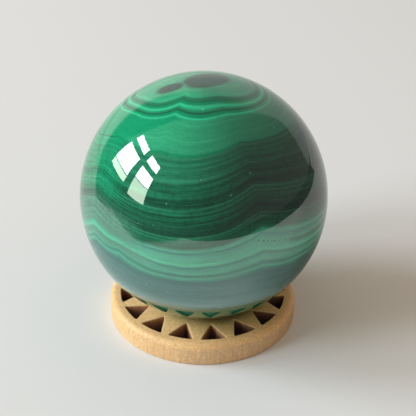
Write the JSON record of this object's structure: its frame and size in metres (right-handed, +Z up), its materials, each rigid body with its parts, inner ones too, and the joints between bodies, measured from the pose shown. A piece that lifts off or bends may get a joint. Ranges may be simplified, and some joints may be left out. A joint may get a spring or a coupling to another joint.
{
  "type": "decorative stone sphere on a ring stand",
  "caption": "Polished banded green malachite sphere resting on a low turned wooden ring stand pierced with triangular windows; a desk or shelf ornament.",
  "frame": {"origin": "centre of the ring stand's underside, on the surface it stands on", "axes": "+Z up through the middles of the ring and the ball; -Y is the side with a window of the ring straight ahead"},
  "size_m": [0.06, 0.06, 0.0637],
  "materials": {
    "malachite": "polished",
    "pale_wood": "satin"
  },
  "bodies": {
    "root": {"malachite_ball": "malachite", "wooden_ring": "pale_wood"}
  },
  "joints": []
}
